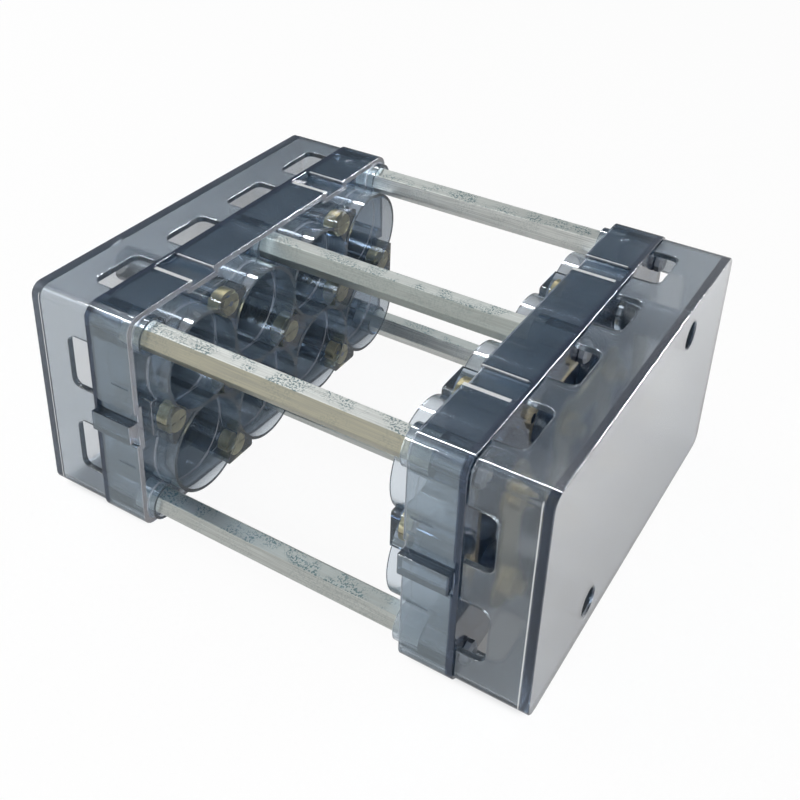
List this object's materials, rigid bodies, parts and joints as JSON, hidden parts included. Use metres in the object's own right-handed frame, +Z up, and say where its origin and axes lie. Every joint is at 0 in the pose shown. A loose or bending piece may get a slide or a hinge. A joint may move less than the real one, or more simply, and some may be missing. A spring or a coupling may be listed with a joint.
{
  "type": "battery cell holder bracket",
  "caption": "Clear smoky plastic bracket that holds round battery cells side by side between two socket blocks joined by hexagonal spacer posts.",
  "frame": {"origin": "middle of the bounding box, on the surface that the bracket stands on", "axes": "+X along the cells and the spacer posts, +Y across the columns of cells from the front with its key to the back, +Z up"},
  "size_m": [0.1868, 0.1564, 0.0843],
  "materials": {
    "smoky_plastic": "clear smoky grey, glossy",
    "zinc_steel": "bright zinc plate with a spangle",
    "screw_steel": "satin",
    "brass": "as turned",
    "contact_brass": "rolled, pale"
  },
  "bodies": {
    "root": {"holder_left": "smoky_plastic", "holder_right": "smoky_plastic", "cover_left": "smoky_plastic", "cover_right": "smoky_plastic", "post_top_front": "zinc_steel", "post_top_middle": "zinc_steel", "post_top_back": "zinc_steel", "post_bottom_front": "zinc_steel", "post_bottom_middle": "zinc_steel", "post_bottom_back": "zinc_steel", "post_screw_left_top_front": "screw_steel", "post_screw_left_top_middle": "screw_steel", "post_screw_left_top_back": "screw_steel", "post_screw_left_bottom_front": "screw_steel", "post_screw_left_bottom_middle": "screw_steel", "post_screw_left_bottom_back": "screw_steel", "post_screw_right_top_front": "screw_steel", "post_screw_right_top_middle": "screw_steel", "post_screw_right_top_back": "screw_steel", "post_screw_right_bottom_front": "screw_steel", "post_screw_right_bottom_middle": "screw_steel", "post_screw_right_bottom_back": "screw_steel", "cover_screw_left_1": "screw_steel", "cover_screw_left_2": "screw_steel", "cover_screw_right_1": "screw_steel", "cover_screw_right_2": "screw_steel", "insert_left_1": "brass", "insert_left_2": "brass", "insert_left_3": "brass", "insert_left_4": "brass", "insert_left_5": "brass", "insert_left_6": "brass", "insert_left_7": "brass", "insert_left_8": "brass", "insert_left_9": "brass", "insert_right_1": "brass", "insert_right_2": "brass", "insert_right_3": "brass", "insert_right_4": "brass", "insert_right_5": "brass", "insert_right_6": "brass", "insert_right_7": "brass", "insert_right_8": "brass", "insert_right_9": "brass", "contact_strip_front": "contact_brass", "contact_strip_back": "contact_brass", "contact_ring_right": "contact_brass", "contact_ring_left_front": "contact_brass", "contact_ring_left_back": "contact_brass"}
  },
  "joints": []
}
